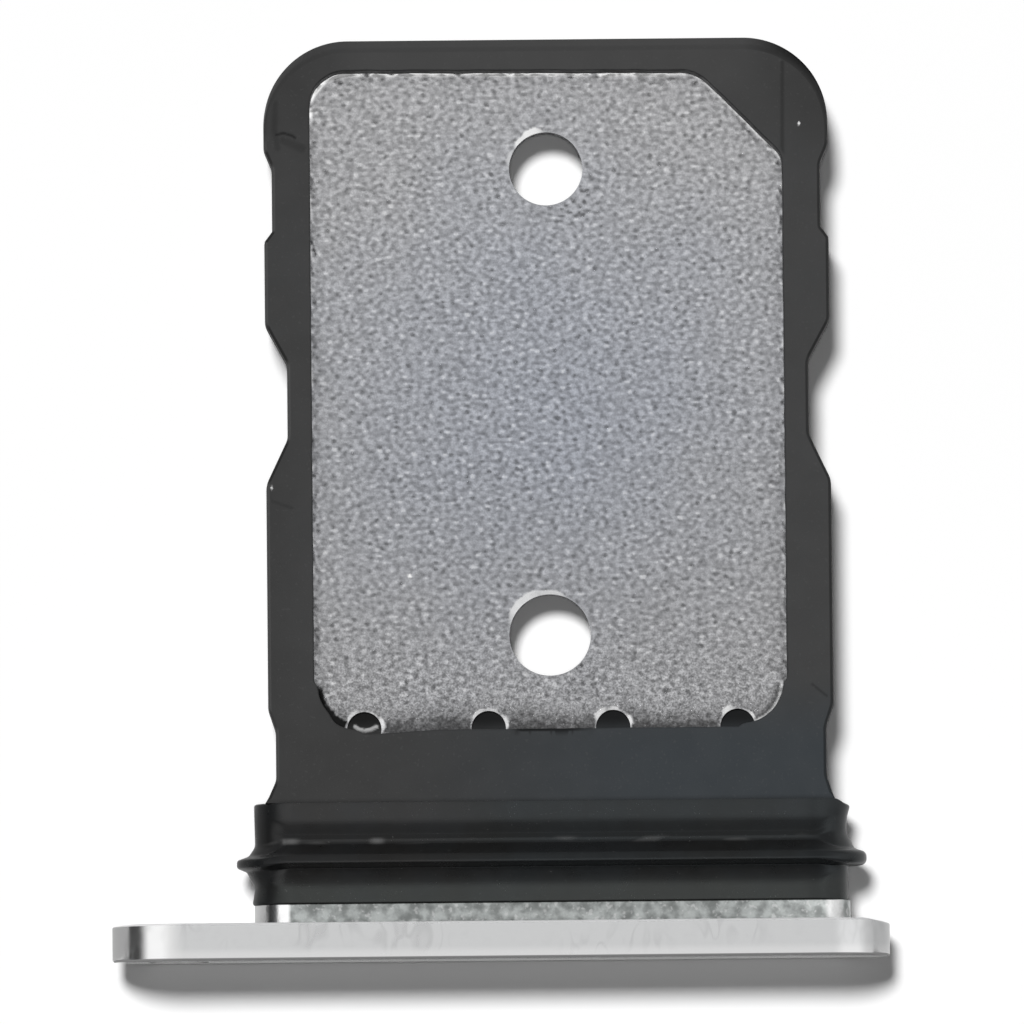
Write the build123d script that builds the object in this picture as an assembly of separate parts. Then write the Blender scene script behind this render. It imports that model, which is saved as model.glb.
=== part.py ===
from build123d import *
from math import sqrt
import os

# A slide-in tray for one small card: a metal end cap, a sheet-metal carrier plate,
# a plastic frame moulded round both, and a rubber seal ring behind the cap.
# Millimetres. +Y is the way the tray slides in, +Z is up, and the card drops in from above.

# The card, and the play it has in its pocket
CARD_LENGTH = 12.30
CARD_WIDTH = 8.80
CARD_THICKNESS = 0.67
CARD_PLAY = 0.065
CARD_SINK = 0.03

# Pocket corners: one is cut off at 45 degrees so that the card goes in one way only
KEY_LEG = 1.60
KEY_NOSE_RADIUS = 0.70
KEY_SIDE_RADIUS = 0.40
POCKET_NOSE_RADIUS = 0.70
POCKET_ROOT_RADIUS = 0.85
POCKET_MOUTH = 0.03

# End cap: a bar with round ends that fills the slot's mouth and stands out past the neck
BAR_LONG_OVERHANG = 2.695
BAR_SHORT_OVERHANG = 0.735
BAR_RISE = 0.35
BAR_DEPTH = 0.70
BAR_FACE_CHAMFER = 0.05
BAR_BACK_CHAMFER = 0.03

# Eject-pin hole through the bar's longer overhang
EJECT_RADIUS = 0.50
EJECT_INSET = 1.25
EJECT_MOUTH = 0.08

# Neck boss behind the bar, and the tongue that the plastic is moulded round
NECK_STEP = 0.285
NECK_RISE = 0.15
NECK_LENGTH = 0.36
TONGUE_INSET = 0.875
TONGUE_THICKNESS = 0.40
TONGUE_PLATE_GAP = 0.25
TONGUE_HOLE_RADIUS = 0.40
TONGUE_HOLE_PITCH = 2.60
TONGUE_HOLE_COUNT = 3

# Seal ring, from the cap to the frame: a band, a groove, a lip with sloping flanks, a groove and a band
SEAL_WALL = 0.25
SEAL_CORNER = 0.05
BAND_AT_CAP = 0.36
BAND_AT_FRAME = 0.355
GROOVE_DEPTH = 0.04
GROOVE_AT_CAP = 0.175
GROOVE_AT_FRAME = 0.295
LIP_FLANK_AT_CAP = 0.17
LIP_FLANK_AT_FRAME = 0.32
LIP_THICKNESS = 0.15
LIP_TIP_RADIUS = 0.06
LIP_CLEARANCE = 0.015
LIP_BLEND_AT_CAP = 0.12
LIP_BLEND_AT_FRAME = 0.30

# Frame
RAIL_WIDTH = 0.875
BACK_THICKNESS = 0.25
FRAME_EDGE = 0.05
ROOT_LENGTH = 1.365
NOSE_WALL = 0.635
NOSE_RADIUS = 1.60
NOSE_BEVEL = 0.18

# Side notches, from the nose to the root: a shallow detent, a land, a deep latch notch, and a waist
DETENT_FROM_NOSE = 2.07
DETENT_NOSE_RAMP = 0.35
DETENT_FLOOR = 1.19
DETENT_ROOT_RAMP = 0.20
DETENT_DEPTH = 0.15
DETENT_NOSE_ROUND = 0.40
DETENT_ROOT_ROUND = 0.08
LAND_LENGTH = 1.58
LATCH_NOSE_RAMP = 0.75
LATCH_FLOOR = 1.40
LATCH_ROOT_RAMP = 0.86
LATCH_DEPTH = 0.41
LATCH_ROUND = 0.40
WAIST_FLARE = 0.20
WAIST_FLARE_LENGTH = 0.445
WAIST_FLOOR = 0.91
WAIST_RAMP = 0.42
WAIST_DEPTH = 0.14
WAIST_ROUND = 0.40

# Carrier plate
PLATE_THICKNESS = 0.25
PLATE_MARGIN = 0.25
PLATE_TAIL = 0.55
PLATE_TAIL_INSET = 0.60
PUSH_HOLE_RIM = 0.07
NOSE_HOLE_RADIUS = 0.695
NOSE_HOLE_INSET = 1.79
ROOT_HOLE_RADIUS = 0.77
ROOT_HOLE_INSET = 1.80
LOCK_RADIUS = 0.325
LOCK_RIM = 0.06
LOCK_SIDE_INSET = 0.937
LOCK_COUNT = 4
LOCK_INSET = 0.05
LOCK_PLUG_SINK = 0.08

# Window on the underside, which shows the plate's back
WINDOW_LEDGE = 0.50
WINDOW_RADIUS = 0.35
WINDOW_HOLE_MARGIN = 0.18

# Widths and heights, built out from the card to the bar
POCKET_HALF = CARD_WIDTH / 2 + CARD_PLAY
FRAME_HALF = POCKET_HALF + RAIL_WIDTH
NECK_WIDTH = 2 * (FRAME_HALF + NECK_STEP)
BAR_LENGTH = NECK_WIDTH + BAR_LONG_OVERHANG + BAR_SHORT_OVERHANG
FRAME_THICKNESS = CARD_THICKNESS + CARD_SINK + PLATE_THICKNESS + BACK_THICKNESS
NECK_HEIGHT = FRAME_THICKNESS + 2 * NECK_RISE
BAR_HEIGHT = NECK_HEIGHT + 2 * BAR_RISE
NECK_CORE = NECK_WIDTH - NECK_HEIGHT
SPIGOT_RADIUS = NECK_HEIGHT / 2 - SEAL_WALL
LOCK_PITCH = 2 * (POCKET_HALF - LOCK_SIDE_INSET) / (LOCK_COUNT - 1)

# The tray's centre line, to one side of the bar's middle
TRAY_X = (BAR_LONG_OVERHANG - BAR_SHORT_OVERHANG) / 2

# Levels along Y, counted from the bar's seat against the phone
SEAL_START = NECK_LENGTH
LIP_START = SEAL_START + BAND_AT_CAP + GROOVE_DEPTH + GROOVE_AT_CAP + LIP_FLANK_AT_CAP
LIP_END = LIP_START + LIP_THICKNESS
FRAME_ROOT = LIP_END + LIP_FLANK_AT_FRAME + GROOVE_AT_FRAME + GROOVE_DEPTH + BAND_AT_FRAME
POCKET_ROOT = FRAME_ROOT + ROOT_LENGTH
POCKET_NOSE = POCKET_ROOT + CARD_LENGTH + 2 * CARD_PLAY
NOSE_END = POCKET_NOSE + NOSE_WALL
TONGUE_END = POCKET_ROOT - PLATE_TAIL - TONGUE_PLATE_GAP
MID_Y = (NOSE_END - BAR_DEPTH) / 2

# Levels along Z, counted from the surface that the bar rests on
MID_Z = BAR_HEIGHT / 2
FRAME_BOTTOM = MID_Z - FRAME_THICKNESS / 2
FRAME_TOP = MID_Z + FRAME_THICKNESS / 2
PLATE_TOP = FRAME_TOP - CARD_THICKNESS - CARD_SINK
PLATE_BOTTOM = PLATE_TOP - PLATE_THICKNESS

# How far a cutting solid runs past the face that it opens
PAST = 1.0


def filled(corners):
    """The face inside a closed outline of (x, y, corner radius)."""
    points = [(x, y) for x, y, _ in corners]
    radii = [radius for _, _, radius in corners]
    return make_face(FilletPolyline(*points, radius=radii, close=True))


def upright(face, z_from, z_to):
    """The face stood up along Z between two levels, on the tray's centre line."""
    return Pos(TRAY_X, 0, z_from) * extrude(face, amount=z_to - z_from)


def along(face, x, y_from, y_to):
    """The face, drawn across X and Z at the bar's mid height, run along Y between two levels."""
    plane = Plane(origin=(x, y_from, MID_Z), x_dir=(1, 0, 0), z_dir=(0, 1, 0))
    return extrude(plane * face, amount=y_to - y_from)


def row_of(count, pitch):
    """Places along X for a centred row."""
    return [(i - (count - 1) / 2) * pitch for i in range(count)]


def pocket_face():
    """The pocket's outline, with the key corner at its nose end."""
    return filled([
        (-POCKET_HALF, POCKET_ROOT, POCKET_ROOT_RADIUS),
        (POCKET_HALF, POCKET_ROOT, POCKET_ROOT_RADIUS),
        (POCKET_HALF, POCKET_NOSE - KEY_LEG, KEY_SIDE_RADIUS),
        (POCKET_HALF - KEY_LEG, POCKET_NOSE, KEY_NOSE_RADIUS),
        (-POCKET_HALF, POCKET_NOSE, POCKET_NOSE_RADIUS),
    ])


def window_face():
    """The window's outline: the pocket's less a ledge, which is wider behind the root hole."""
    root = POCKET_ROOT + ROOT_HOLE_INSET - ROOT_HOLE_RADIUS - WINDOW_HOLE_MARGIN
    nose = POCKET_NOSE - WINDOW_LEDGE
    half = POCKET_HALF - WINDOW_LEDGE
    leg = KEY_LEG - WINDOW_LEDGE * (2 - sqrt(2))
    corners = [(-half, root), (half, root), (half, nose - leg), (half - leg, nose), (-half, nose)]
    return filled([(x, y, WINDOW_RADIUS) for x, y in corners])


def frame_face():
    """The frame's outline with its side notches, and a square nose that is rounded later."""
    detent_nose = NOSE_END - DETENT_FROM_NOSE
    detent_root = detent_nose - DETENT_NOSE_RAMP - DETENT_FLOOR - DETENT_ROOT_RAMP
    latch_nose = detent_root - LAND_LENGTH
    latch_root = latch_nose - LATCH_NOSE_RAMP - LATCH_FLOOR - LATCH_ROOT_RAMP
    waist_root = FRAME_ROOT + WAIST_FLARE_LENGTH
    waist_nose = waist_root + WAIST_FLOOR
    detent = FRAME_HALF - DETENT_DEPTH
    latch = FRAME_HALF - LATCH_DEPTH
    waist = FRAME_HALF - WAIST_DEPTH
    side = [
        (waist + WAIST_FLARE, FRAME_ROOT, 0),
        (waist, waist_root, WAIST_ROUND),
        (waist, waist_nose, WAIST_ROUND),
        (FRAME_HALF, waist_nose + WAIST_RAMP, WAIST_ROUND),
        (FRAME_HALF, latch_root, LATCH_ROUND),
        (latch, latch_root + LATCH_ROOT_RAMP, LATCH_ROUND),
        (latch, latch_nose - LATCH_NOSE_RAMP, LATCH_ROUND),
        (FRAME_HALF, latch_nose, LATCH_ROUND),
        (FRAME_HALF, detent_root, DETENT_ROOT_ROUND),
        (detent, detent_root + DETENT_ROOT_RAMP, DETENT_ROOT_ROUND),
        (detent, detent_nose - DETENT_NOSE_RAMP, DETENT_NOSE_ROUND),
        (FRAME_HALF, detent_nose, DETENT_NOSE_ROUND),
        (FRAME_HALF, NOSE_END, 0),
    ]
    return filled(side + [(-x, y, radius) for x, y, radius in reversed(side)])


def nose_waste():
    """What is cut off the square nose: its corners, and a bevel above and below that fades out round them."""
    start = NOSE_END - NOSE_RADIUS - NOSE_BEVEL
    bullet = filled([
        (-FRAME_HALF, start - NOSE_BEVEL, 0),
        (FRAME_HALF, start - NOSE_BEVEL, 0),
        (FRAME_HALF, NOSE_END, NOSE_RADIUS),
        (-FRAME_HALF, NOSE_END, NOSE_RADIUS),
    ])
    slope = NOSE_BEVEL * sqrt(2)
    low = FRAME_BOTTOM + NOSE_BEVEL
    high = FRAME_TOP - NOSE_BEVEL
    nose = upright(bullet, low, high)
    nose += Pos(TRAY_X, 0, high) * extrude(bullet, amount=slope, dir=(0, -1, 1))
    nose += Pos(TRAY_X, 0, low) * extrude(bullet, amount=slope, dir=(0, -1, -1))
    block = Rectangle(2 * FRAME_HALF, NOSE_END - start, align=(Align.CENTER, Align.MIN))
    return upright(Pos(0, start) * block, FRAME_BOTTOM, FRAME_TOP) - nose


def rimmed_hole(x, y, radius, rim):
    """What a hole through the plate takes away, with its upper edge broken at 45 degrees."""
    hole = upright(Pos(x, y) * Circle(radius), PLATE_BOTTOM - PAST, PLATE_TOP)
    return hole + Pos(TRAY_X + x, y, PLATE_TOP - rim / 2) * Cone(radius, radius + rim, rim)


def make_plate():
    """Sheet-metal floor of the pocket, with push holes, and lock holes that the plastic fills."""
    tail_width = 2 * (POCKET_HALF + PLATE_MARGIN - PLATE_TAIL_INSET)
    tail = Rectangle(tail_width, PLATE_TAIL + POCKET_ROOT_RADIUS, align=(Align.CENTER, Align.MIN))
    sheet = offset(pocket_face(), PLATE_MARGIN) + Pos(0, POCKET_ROOT - PLATE_TAIL) * tail
    plate = upright(sheet, PLATE_BOTTOM, PLATE_TOP)
    plate -= rimmed_hole(0, POCKET_NOSE - NOSE_HOLE_INSET, NOSE_HOLE_RADIUS, PUSH_HOLE_RIM)
    plate -= rimmed_hole(0, POCKET_ROOT + ROOT_HOLE_INSET, ROOT_HOLE_RADIUS, PUSH_HOLE_RIM)
    for x in row_of(LOCK_COUNT, LOCK_PITCH):
        plate -= rimmed_hole(x, POCKET_ROOT + LOCK_INSET, LOCK_RADIUS, LOCK_RIM)
    return plate


def make_cap():
    """Metal bar, neck boss and tongue in one piece."""
    bar = along(SlotOverall(BAR_LENGTH, BAR_HEIGHT), 0, -BAR_DEPTH, 0)
    front = bar.faces().sort_by(Axis.Y)[0]
    bar = chamfer(front.edges(), BAR_FACE_CHAMFER)
    back = bar.faces().sort_by(Axis.Y)[-1]
    bar = chamfer(back.edges(), BAR_BACK_CHAMFER)
    eject_x = EJECT_INSET - BAR_LENGTH / 2
    bar -= along(Circle(EJECT_RADIUS), eject_x, -BAR_DEPTH - PAST, PAST)
    mouth = Plane(origin=(eject_x, -BAR_DEPTH + EJECT_MOUTH / 2, MID_Z), x_dir=(1, 0, 0), z_dir=(0, -1, 0))
    bar -= mouth * Cone(EJECT_RADIUS, EJECT_RADIUS + EJECT_MOUTH, EJECT_MOUTH)
    neck = along(SlotOverall(NECK_WIDTH, NECK_HEIGHT), TRAY_X, -BAR_DEPTH / 2, NECK_LENGTH)
    tongue_width = NECK_CORE - 2 * TONGUE_INSET
    tongue = along(Rectangle(tongue_width, TONGUE_THICKNESS), TRAY_X, 0, TONGUE_END)
    hole_y = (NECK_LENGTH + TONGUE_END) / 2
    for x in row_of(TONGUE_HOLE_COUNT, TONGUE_HOLE_PITCH):
        tongue -= upright(Pos(x, hole_y) * Circle(TONGUE_HOLE_RADIUS), MID_Z - PAST, MID_Z + PAST)
    return bar + neck + tongue


def make_frame(plate, cap):
    """Plastic moulded round the plate's margin and the cap's tongue."""
    block = upright(frame_face(), FRAME_BOTTOM, FRAME_TOP) - nose_waste()
    flats = block.faces().filter_by(Plane.XY).sort_by(Axis.Z)
    block = chamfer(flats[0].edges() + flats[-1].edges(), FRAME_EDGE)
    block -= upright(pocket_face(), PLATE_TOP, FRAME_TOP + PAST)
    top = block.faces().filter_by(Plane.XY).sort_by(Axis.Z)[-1]
    block = chamfer(top.inner_wires()[0].edges(), POCKET_MOUTH)
    block -= upright(window_face(), FRAME_BOTTOM - PAST, PLATE_TOP + PAST)
    section = SlotOverall(NECK_CORE + 2 * SPIGOT_RADIUS, 2 * SPIGOT_RADIUS)
    spigot = along(section, TRAY_X, SEAL_START, FRAME_ROOT)
    frame = block + spigot - plate - cap
    in_pocket = upright(pocket_face(), PLATE_TOP - LOCK_PLUG_SINK, PLATE_TOP)
    for x in row_of(LOCK_COUNT, LOCK_PITCH):
        plug_top = Pos(x, POCKET_ROOT + LOCK_INSET) * Circle(LOCK_RADIUS + LOCK_RIM)
        frame -= upright(plug_top, PLATE_TOP - LOCK_PLUG_SINK, PLATE_TOP) & in_pocket
    return frame


def seal_profile():
    """Half of the ring's section, as (distance from the neck's core line, Y)."""
    inside = SPIGOT_RADIUS
    band = NECK_HEIGHT / 2
    groove = band - GROOVE_DEPTH
    tip = band + BAR_RISE - LIP_CLEARANCE
    cap_groove = SEAL_START + BAND_AT_CAP
    frame_groove = FRAME_ROOT - BAND_AT_FRAME
    return filled([
        (inside, SEAL_START, 0),
        (band - SEAL_CORNER, SEAL_START, 0),
        (band, SEAL_START + SEAL_CORNER, 0),
        (band, cap_groove, 0),
        (groove, cap_groove + GROOVE_DEPTH, 0),
        (groove, LIP_START - LIP_FLANK_AT_CAP, LIP_BLEND_AT_CAP),
        (tip, LIP_START, LIP_TIP_RADIUS),
        (tip, LIP_END, LIP_TIP_RADIUS),
        (groove, LIP_END + LIP_FLANK_AT_FRAME, LIP_BLEND_AT_FRAME),
        (groove, frame_groove - GROOVE_DEPTH, 0),
        (band, frame_groove, 0),
        (band, FRAME_ROOT - SEAL_CORNER, 0),
        (band - SEAL_CORNER, FRAME_ROOT, 0),
        (inside, FRAME_ROOT, 0),
    ])


def make_seal():
    """Rubber ring: the profile run along the neck's flat sides and turned round its ends."""
    end = Plane(origin=(TRAY_X + NECK_CORE / 2, 0, MID_Z), x_dir=(0, 0, 1), z_dir=(-1, 0, 0))
    section = end * seal_profile()
    half = extrude(section, amount=NECK_CORE)
    half += revolve(section, Axis(end.origin, (0, 1, 0)), 180)
    return half + half.rotate(Axis((TRAY_X, 0, MID_Z), (0, 1, 0)), 180)


plate = make_plate()
cap = make_cap()
nodes = {
    "end_cap": cap,
    "carrier_plate": plate,
    "frame": make_frame(plate, cap),
    "seal": make_seal(),
}

os.makedirs("parts", exist_ok=True)
for name, solid in nodes.items():
    export_step(Pos(0, -MID_Y, 0) * solid, f"parts/{name}.step")
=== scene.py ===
import math

import bmesh
import bpy
import numpy as np
from mathutils import Matrix, Vector
from mathutils.geometry import delaunay_2d_cdt


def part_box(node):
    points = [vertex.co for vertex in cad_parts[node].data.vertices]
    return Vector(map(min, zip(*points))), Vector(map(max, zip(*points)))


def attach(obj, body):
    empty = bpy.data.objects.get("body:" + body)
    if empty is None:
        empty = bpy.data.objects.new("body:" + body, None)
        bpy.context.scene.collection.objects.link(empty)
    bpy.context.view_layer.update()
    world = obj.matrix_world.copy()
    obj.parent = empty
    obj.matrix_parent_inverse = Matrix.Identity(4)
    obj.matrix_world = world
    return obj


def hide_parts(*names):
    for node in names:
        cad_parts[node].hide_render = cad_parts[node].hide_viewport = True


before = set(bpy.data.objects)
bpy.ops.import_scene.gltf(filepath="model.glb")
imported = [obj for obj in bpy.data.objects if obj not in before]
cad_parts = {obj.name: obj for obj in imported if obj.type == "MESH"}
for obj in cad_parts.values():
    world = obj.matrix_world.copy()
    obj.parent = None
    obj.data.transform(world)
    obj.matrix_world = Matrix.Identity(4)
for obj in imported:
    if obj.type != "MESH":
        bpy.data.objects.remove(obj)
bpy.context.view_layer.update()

MM = 0.001


def box_of(node):
    """Lowest and highest corner of a node, in millimetres."""
    low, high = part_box(node)
    return np.array(low) / MM, np.array(high) / MM


cap_low, cap_high = box_of("end_cap")
plate_low, plate_high = box_of("carrier_plate")
frame_low, frame_high = box_of("frame")
seal_low, seal_high = box_of("seal")

# Camera: a distant one, nearly overhead, with the photograph's scale, aim and slight roll
IMAGE_PIXELS = 1024
PIXELS_PER_MM = 52.93
CAMERA_TILT = math.radians(3.5)
CAMERA_ROLL = math.radians(0.54)
CAMERA_DISTANCE = 300.0
CAMERA_AIM = (0.281, -0.25, 1.3)

# Light: a soft key from the nose and a little from the left, a weaker one from the camera, and a dim room
KEY_ELEVATION = math.radians(70.0)
KEY_AZIMUTH = math.radians(113.0)
KEY_SOFTNESS = math.radians(12.0)
KEY_STRENGTH = 3.03
TOP_STRENGTH = 0.36
TOP_SOFTNESS = math.radians(6.0)
ROOM_LEVEL = 0.01
FLOOR_HALF = 2000.0
FLOOR_GLINT = 0.034

# End cap
BAR_DEPTH = 0.70
BAR_FACE_CHAMFER = 0.035
BAR_BACK_CHAMFER = 0.018
BAR_CORNER = 0.09
BAR_CORNER_REACH = 0.50
EJECT_RADIUS = 0.50
EJECT_INSET = 1.25
EJECT_MOUTH = 0.08
NECK_LENGTH = 0.36
NECK_RISE = 0.15
TONGUE_INSET = 0.875
# Painted shade band and painted highlights on the neck's rounded ends
NECK_SHADE = (-4.37, -4.21)
NECK_HIGHLIGHT_LEFT = -4.02
NECK_HIGHLIGHT_RIGHT = 6.29
# Painted highlight across the bar's left end
BAR_GLEAM = (-6.30, -5.92)
TONGUE_THICKNESS = 0.40
TONGUE_END = cap_high[1]
BAR_RADIUS = cap_high[2] / 2
BAR_CORE = (cap_high[0] - cap_low[0]) / 2 - BAR_RADIUS
BAR_FACE = cap_low[1]
BAR_SEAT = BAR_FACE + BAR_DEPTH
MID_Z = BAR_RADIUS

# Seal ring: its section as (distance from the core line, way from the frame, corner radius)
SEAL_WALL = 0.25
SEAL_LENGTH = seal_high[1] - seal_low[1]
SEAL_MIDDLE = [
    (0.50, 0.00, 0.01), (0.75, 0.00, 0.004), (0.75, 0.355, 0.55), (0.655, 0.60, 0.005),
    (0.693, 0.69, 0.06), (0.7065, 0.775, 0.08), (1.026, 1.00, 0.10), (1.072, 1.15, 0.03), (0.64, 1.235, 0.01),
    (0.75, 1.57, 0.65), (0.752, 1.80, 0.05), (0.75, SEAL_LENGTH, 0.03), (0.50, SEAL_LENGTH, 0.01),
]
SEAL_LEFT = [
    (0.50, 0.00, 0.01), (0.75, 0.00, 0.05), (0.745, 0.30, 0.10), (0.742, 0.55, 0.10),
    (0.74, 0.80, 0.20), (0.86, 0.98, 0.12), (1.085, 1.06, 0.06), (1.085, 1.20, 0.06), (0.90, 1.28, 0.10),
    (0.74, 1.56, 0.20), (0.785, 1.86, 0.02), (0.77, SEAL_LENGTH, 0.02), (0.50, SEAL_LENGTH, 0.01),
]
SEAL_RIGHT = [
    (0.50, 0.00, 0.01), (0.755, 0.12, 0.05), (0.70, 0.32, 0.06), (0.688, 0.47, 0.10),
    (0.685, 0.62, 0.25), (0.83, 0.93, 0.12), (1.06, 1.00, 0.115), (1.06, 1.24, 0.115), (0.71, 1.26, 0.02),
    (0.705, 1.40, 0.05), (0.712, 1.60, 0.05), (0.71, SEAL_LENGTH, 0.02), (0.50, SEAL_LENGTH, 0.01),
]
RIDGE_Y = seal_high[1] - 0.73
RIDGE_SHINE = [(-4.06, 0.08), (-3.95, 0.24), (-2.32, 0.20), (-2.32, 0.10)]
LIP_TIP = (seal_high[2] - seal_low[2]) / 2
RING_CORE = (seal_high[0] - seal_low[0]) / 2 - LIP_TIP
SEAL_START = seal_low[1]
FRAME_ROOT = seal_high[1]
TRAY_X = (seal_low[0] + seal_high[0]) / 2

# Frame
FRAME_BOTTOM = frame_low[2]
FRAME_TOP = frame_high[2]
NOSE_END = frame_high[1]
NECK_RADIUS = (FRAME_TOP - FRAME_BOTTOM) / 2 + NECK_RISE
RAIL_WIDTH = 0.875
FRAME_EDGE = 0.05
NOSE_RADIUS = 1.60
NOSE_BEVEL = 0.18
DETENT_FROM_NOSE = 2.07
DETENT_NOSE_RAMP = 0.35
DETENT_FLOOR = 1.19
DETENT_ROOT_RAMP = 0.20
DETENT_DEPTH = 0.15
DETENT_NOSE_ROUND = 0.40
DETENT_ROOT_ROUND = 0.08
LAND_LENGTH = 1.58
LATCH_NOSE_RAMP = 0.75
LATCH_FLOOR = 1.40
LATCH_ROOT_RAMP = 0.86
LATCH_DEPTH = 0.41
LATCH_ROUND = 0.40
WAIST_FLARE = 0.20
WAIST_FLARE_RIGHT = 0.14
WAIST_FLARE_LENGTH = 0.445
WAIST_FLOOR = 0.91
WAIST_RAMP = 0.42
WAIST_DEPTH = 0.14
WAIST_ROUND = 0.40
MOULD_DRAFT = 0.008
PARTING_FLASH = 0.008

# Carrier plate, its holes, and the pocket and window that show it
PLATE_TOP = plate_high[2]
PLATE_BOTTOM = plate_low[2]
PLATE_MARGIN = 0.25
PLATE_SPECK = (-1.665, -1.425, 0.05)
PLATE_TAIL = 0.55
PLATE_TAIL_INSET = 0.60
NOSE_HOLE_RADIUS = 0.695
NOSE_HOLE_INSET = 1.79
ROOT_HOLE_RADIUS = 0.77
ROOT_HOLE_INSET = 1.80
LOCK_RADIUS = 0.325
LOCK_SIDE_INSET = 0.937
LOCK_COUNT = 4
HOLE_POINTS = 128
LOCK_INSET = 0.05
LOCK_PLUG_SINK = 0.08
PLUG_BURR = [(-0.17, 0.05), (-0.10, 0.0), (0.02, -0.02), (0.13, 0.0), (0.23, 0.05)]
POCKET_HALF = (plate_high[0] - plate_low[0]) / 2 - PLATE_MARGIN
POCKET_NOSE = plate_high[1] - PLATE_MARGIN
POCKET_ROOT = plate_low[1] + PLATE_TAIL
KEY_LEG = 1.60
KEY_NOSE_RADIUS = 0.70
KEY_SIDE_RADIUS = 0.40
POCKET_NOSE_RADIUS = 0.70
POCKET_ROOT_RADIUS = 0.85
POCKET_MOUTH = 0.03
POCKET_SKEW = 0.055
WINDOW_LEDGE = 0.50
WINDOW_RADIUS = 0.35
WINDOW_HOLE_MARGIN = 0.18
FRAME_HALF = POCKET_HALF + RAIL_WIDTH

# Surface detail
GRAIN_SIZE = 0.045
GRAIN_STRETCH = (1.45, 1.0)
GRAIN_HEIGHT = 0.0018
GRAIN_SPACING = 0.038
LIP_HEIGHT = 0.05
LIP_WIDTH = 0.10
RIM_WIDTH = 0.012
RIM_SLOPE = 0.14

# Where the punch drew a hole's edge wider: (direction in degrees, reach to each side, width, share painted
# lighter as a highlight)
NOSE_HOLE_LOBES = [(112, 24, 0.095, 0.9), (132, 18, 0.06, 0.8), (162, 20, 0.05, 0.3), (25, 45, 0.04, 0.0)]
ROOT_HOLE_LOBES = [(128, 46, 0.115, 0.62), (90, 30, 0.06, 0.55), (20, 40, 0.03, 0.0)]
LOCK_HOLE_LOBES = [
    [(130, 36, 0.050, 0.50), (62, 30, 0.018, 0.25), (18, 32, 0.066, 0.52)],
    [(125, 40, 0.055, 0.50), (80, 32, 0.038, 0.42), (20, 36, 0.052, 0.48)],
    [(132, 36, 0.085, 0.58), (88, 24, 0.052, 0.50), (24, 28, 0.048, 0.70)],
    [(122, 30, 0.085, 0.60), (38, 22, 0.040, 0.72)],
]
REAR_GAP = 0.07
CORNER_COVER = 0.075
REAR_SHADOW = (0.2, 1.9)
TOP_SPACING = 0.10
MARK_SPACING = 0.026

# Marks on the frame's top, from the tray's middle line and from the nose: (line, width, depth) and
# (x, way from the nose, length, width)
FRAME_CREASES = [
    ([(-5.09, 1.79), (-4.95, 1.76), (-4.79, 1.81), (-4.73, 1.85)], 0.04, 0.65),
    ([(-5.10, 1.20), (-5.12, 1.70), (-5.06, 2.05)], 0.09, 0.30),
    # painted shade: a soft dark patch below the first crease
    ([(-4.95, 1.90), (-4.72, 2.00), (-4.60, 2.06)], 0.12, 0.30),
    ([(4.49, 0.50), (4.47, 2.35)], 0.06, 0.42),
    ([(4.93, 12.28), (5.20, 12.50)], 0.04, 0.40),
    ([(-5.30, 8.70), (-4.85, 8.86)], 0.05, 0.25),
]
FRAME_SPECKS = [(4.79, 1.67, 0.05, 0.028), (4.62, 0.42, 0.025, 0.025), (-5.23, 8.47, 0.045, 0.022)]
EDGE_STEPS = 4
SUPPORT = 0.008


def unit(vector):
    return vector / np.linalg.norm(vector)


def rounded(corners, arc_steps, arc_spacing=math.inf, closed=True):
    """Points along an outline of (x, y, corner radius), each round corner in arc_steps steps or more."""
    count = len(corners)
    line = []
    for i, (x, y, radius) in enumerate(corners):
        corner = np.array((x, y), float)
        if radius == 0 or (not closed and i in (0, count - 1)):
            line.append(corner)
            continue
        back = unit(np.array(corners[i - 1][:2]) - corner)
        ahead = unit(np.array(corners[(i + 1) % count][:2]) - corner)
        half = math.acos(np.clip(back @ ahead, -1, 1)) / 2
        middle = corner + unit(back + ahead) * radius / math.sin(half)
        spoke = corner + back * radius / math.tan(half) - middle
        side = back[1] * ahead[0] - back[0] * ahead[1]
        turn = math.copysign(math.pi - 2 * half, side)
        steps = max(arc_steps, math.ceil(radius * abs(turn) / arc_spacing))
        for angle in np.linspace(0, turn, steps + 1):
            c, s = math.cos(angle), math.sin(angle)
            line.append(middle + (c * spoke[0] - s * spoke[1], s * spoke[0] + c * spoke[1]))
    return np.array(line)


def spread(line, spacing, closed=True):
    """The same outline with points added on its longer runs."""
    ends = np.roll(line, -1, 0) if closed else line[1:]
    runs = []
    for here, there in zip(line, ends):
        count = max(1, round(np.linalg.norm(there - here) / spacing))
        runs.append(here + np.arange(count)[:, None] / count * (there - here))
    if not closed:
        runs.append(line[-1:])
    return np.vstack(runs)


def outward(loop):
    """Unit normals of an anticlockwise loop, pointing out of it."""
    run = np.roll(loop, -1, 0) - np.roll(loop, 1, 0)
    normal = np.column_stack((run[:, 1], -run[:, 0]))
    return normal / np.linalg.norm(normal, axis=1)[:, None]


def circle(x, y, radius, count):
    angle = np.arange(count) / count * 2 * np.pi
    return np.column_stack((x + radius * np.cos(angle), y + radius * np.sin(angle)))


def inside(points, loop):
    """Which points lie inside a loop."""
    x, y = points.T
    within = np.zeros(len(points), bool)
    for (x0, y0), (x1, y1) in zip(loop, np.roll(loop, -1, 0)):
        if y0 != y1:
            spans = (y0 > y) != (y1 > y)
            within ^= spans & (x < x0 + (y - y0) / (y1 - y0) * (x1 - x0))
    return within


def reach_from(points, x, y):
    """Distance of points from a place."""
    return np.hypot(points[:, 0] - x, points[:, 1] - y)


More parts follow.
